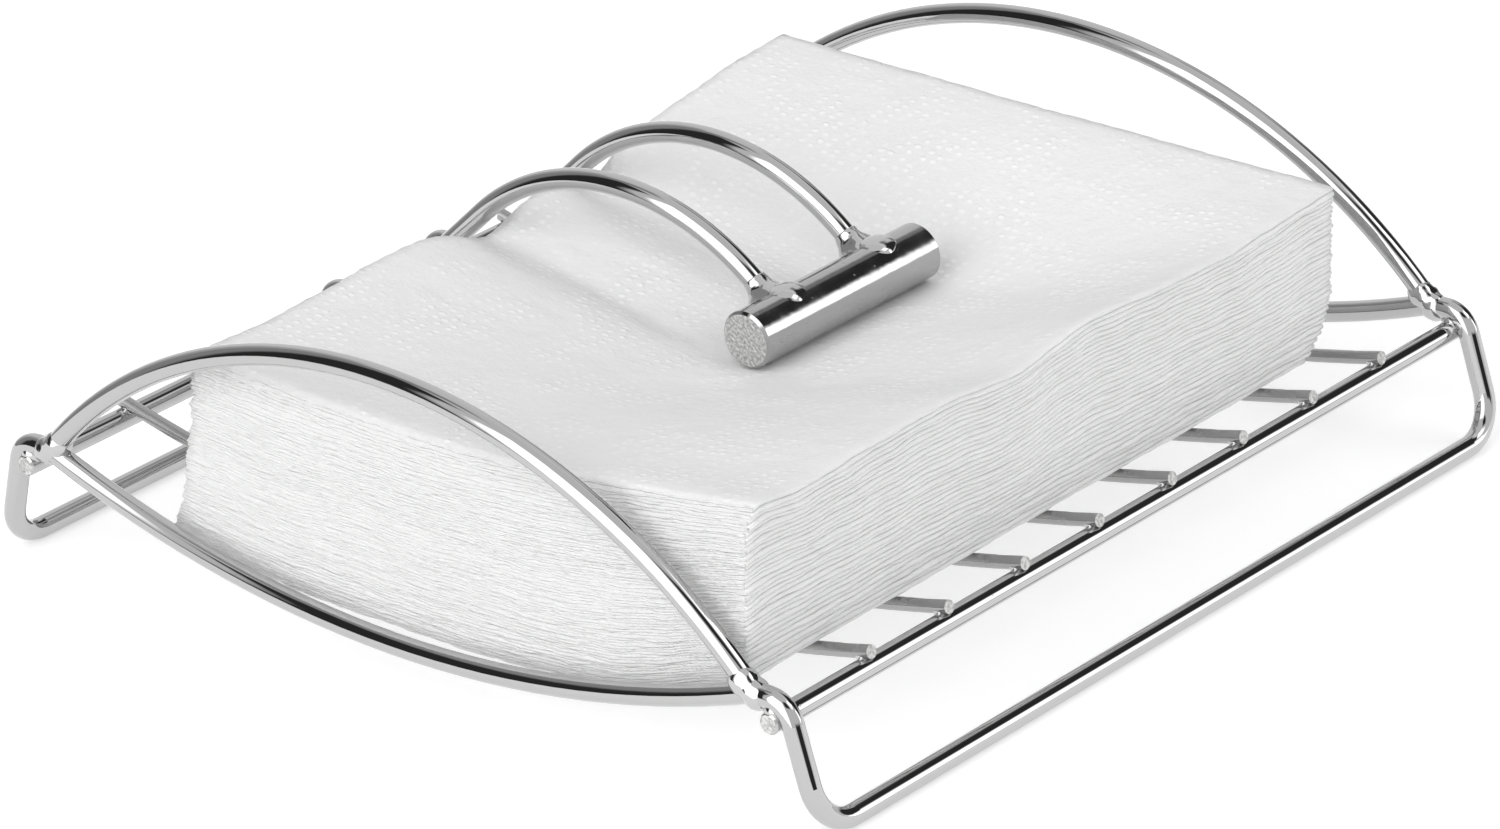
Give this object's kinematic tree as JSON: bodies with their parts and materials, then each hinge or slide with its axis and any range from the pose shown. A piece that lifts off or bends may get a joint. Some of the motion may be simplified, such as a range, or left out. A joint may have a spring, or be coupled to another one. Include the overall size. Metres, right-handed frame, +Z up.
{
  "type": "napkin dispenser",
  "caption": "Flat wire napkin dispenser: a chromed cradle on foot loops holds a stack of folded napkins, kept down by a hinged arm with a weighted bar.",
  "frame": {"origin": "on the table, under the middle of the frame", "axes": "+X along the cradle arcs, away from the hinge rail; +Y from the front arc to the rear arc; +Z up"},
  "size_m": [0.1984, 0.1966, 0.0644],
  "materials": {
    "chrome_wire": "bright nickel-chrome plated drawn steel wire",
    "chrome_bar": "bright plated solid steel bar, sawn and deburred ends",
    "weld_metal": "plated weld beads, slightly rough",
    "napkin_paper": "soft embossed tissue, matte"
  },
  "bodies": {
    "frame": {"corner_weld_beads": "weld_metal", "cradle_arc_front": "chrome_wire", "cradle_arc_rear": "chrome_wire", "cross_weld_beads": "weld_metal", "cross_wire_1": "chrome_wire", "cross_wire_2": "chrome_wire", "cross_wire_3": "chrome_wire", "cross_wire_4": "chrome_wire", "cross_wire_5": "chrome_wire", "cross_wire_6": "chrome_wire", "cross_wire_7": "chrome_wire", "cross_wire_8": "chrome_wire", "foot_loop_left": "chrome_wire", "foot_loop_right": "chrome_wire", "napkin_stack": "napkin_paper", "rail_weld_beads": "weld_metal", "side_rail_left": "chrome_wire", "side_rail_right": "chrome_wire", "top_arch_front": "chrome_wire", "top_arch_rear": "chrome_wire"},
    "arm": {"arm_weld_beads": "weld_metal", "arm_wire_front": "chrome_wire", "arm_wire_rear": "chrome_wire", "weight_bar": "chrome_bar"}
  },
  "joints": [
    {"name": "arm_hinge", "type": "hinge", "parent": "frame", "child": "arm", "pos_m": [-0.0885, 0, 0.0205], "axis": [0, -1, 0], "range_deg": [0, 160]}
  ]
}
